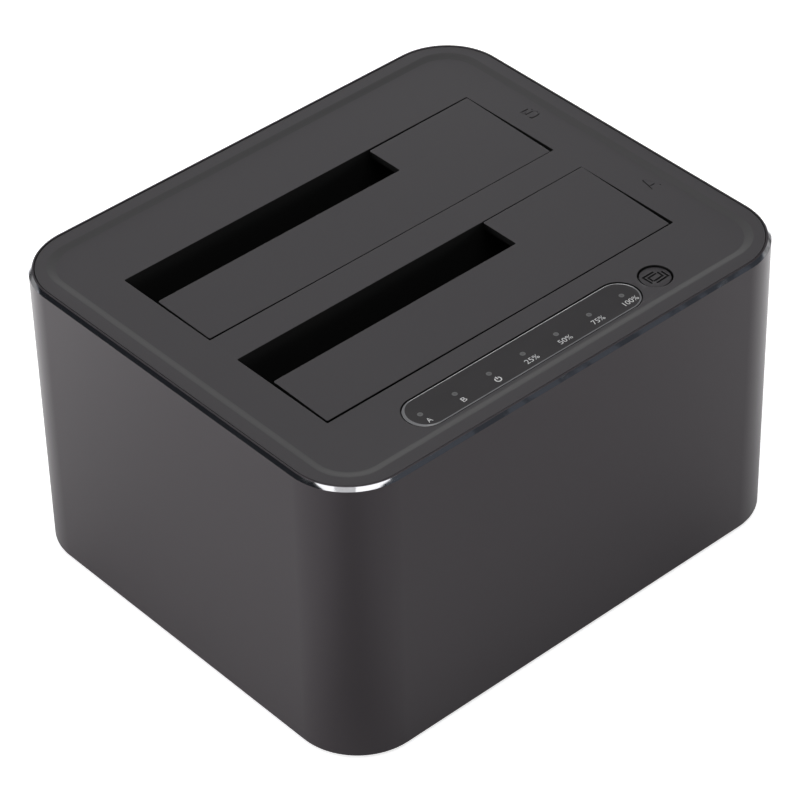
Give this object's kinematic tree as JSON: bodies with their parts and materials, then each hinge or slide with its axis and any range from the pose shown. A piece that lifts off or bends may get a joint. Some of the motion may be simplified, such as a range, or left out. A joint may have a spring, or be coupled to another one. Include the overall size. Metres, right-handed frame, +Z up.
{
  "type": "drive duplicator",
  "caption": "Desktop dock that stands two bare drives on end in flapped bays and copies one to the other, in an aluminium sleeve with a light strip and copy button.",
  "frame": {"origin": "on the surface that the feet stand on, under the middle of the case", "axes": "X along the drive bays, to the right seen from the front; Y away from the front; Z up"},
  "size_m": [0.1362, 0.1156, 0.0777],
  "materials": {
    "anodised_shell": "fine bead-blasted dark anodising with a bright cut rim",
    "cover_plastic": "fine moulded satin texture",
    "flap_plastic": "fine moulded satin texture",
    "inner_plastic": "plain moulded black",
    "button_plastic": "satin with a sunken icon",
    "lens": "smoked, smooth",
    "light_guide": "clear moulded",
    "led": "clear resin on a white body",
    "circuit_board": "green solder mask",
    "connector_black": "glass-filled black",
    "chip": "black moulding compound",
    "ferrite": "moulded grey",
    "steel": "plain steel",
    "can": "bright can",
    "ribbon": "grey flat cable",
    "rubber": "soft black"
  },
  "bodies": {
    "case": {"aluminium_sleeve": "anodised_shell", "top_cover": "cover_plastic", "base_plate": "inner_plastic", "feet": "rubber", "rear_port_plate": "inner_plastic", "bay_frame": "inner_plastic", "hinge_pin_front": "steel", "hinge_pin_rear": "steel", "flap_spring_front": "steel", "flap_spring_rear": "steel", "led_lens": "lens", "light_guide": "light_guide", "leds": "led", "led_board": "circuit_board", "tact_switch": "connector_black", "main_board": "circuit_board", "sata_connector_front": "connector_black", "sata_connector_rear": "connector_black", "bridge_chip": "chip", "memory_chip": "chip", "regulators": "chip", "inductors": "ferrite", "capacitors": "can", "crystal": "steel", "usb_port": "steel", "dc_jack": "connector_black", "power_switch": "connector_black", "upper_header": "connector_black", "lower_header": "connector_black", "ribbon_cable": "ribbon", "case_screws": "steel", "frame_screws": "steel", "board_screws": "steel", "led_board_screws": "steel"},
    "flap_front": {"flap_front": "flap_plastic"},
    "flap_rear": {"flap_rear": "flap_plastic"},
    "clone_button": {"clone_button": "button_plastic", "switch_plunger": "connector_black"},
    "power_button": {"power_button": "inner_plastic"}
  },
  "joints": [
    {"name": "flap_front_hinge", "type": "hinge", "parent": "case", "child": "flap_front", "pos_m": [0, -0.03271, 0.0753], "axis": [-1, 0, 0], "range_deg": [0, 90], "stiffness_Nm_per_rad": 0.004, "springref_deg": -34.38, "deforming": ["flap_spring_front"]},
    {"name": "flap_rear_hinge", "type": "hinge", "parent": "case", "child": "flap_rear", "pos_m": [0, 0.00594, 0.0753], "axis": [-1, 0, 0], "range_deg": [0, 90], "stiffness_Nm_per_rad": 0.004, "springref_deg": -34.38, "deforming": ["flap_spring_rear"]},
    {"name": "clone_button_press", "type": "slide", "parent": "case", "child": "clone_button", "axis": [0, 0, -1], "range_m": [0, 0.0005], "stiffness_N_per_m": 800, "springref_m": -0.0003},
    {"name": "power_button_press", "type": "slide", "parent": "case", "child": "power_button", "axis": [0, -1, 0], "range_m": [0, 0.0012], "stiffness_N_per_m": 600, "springref_m": -0.0005}
  ]
}
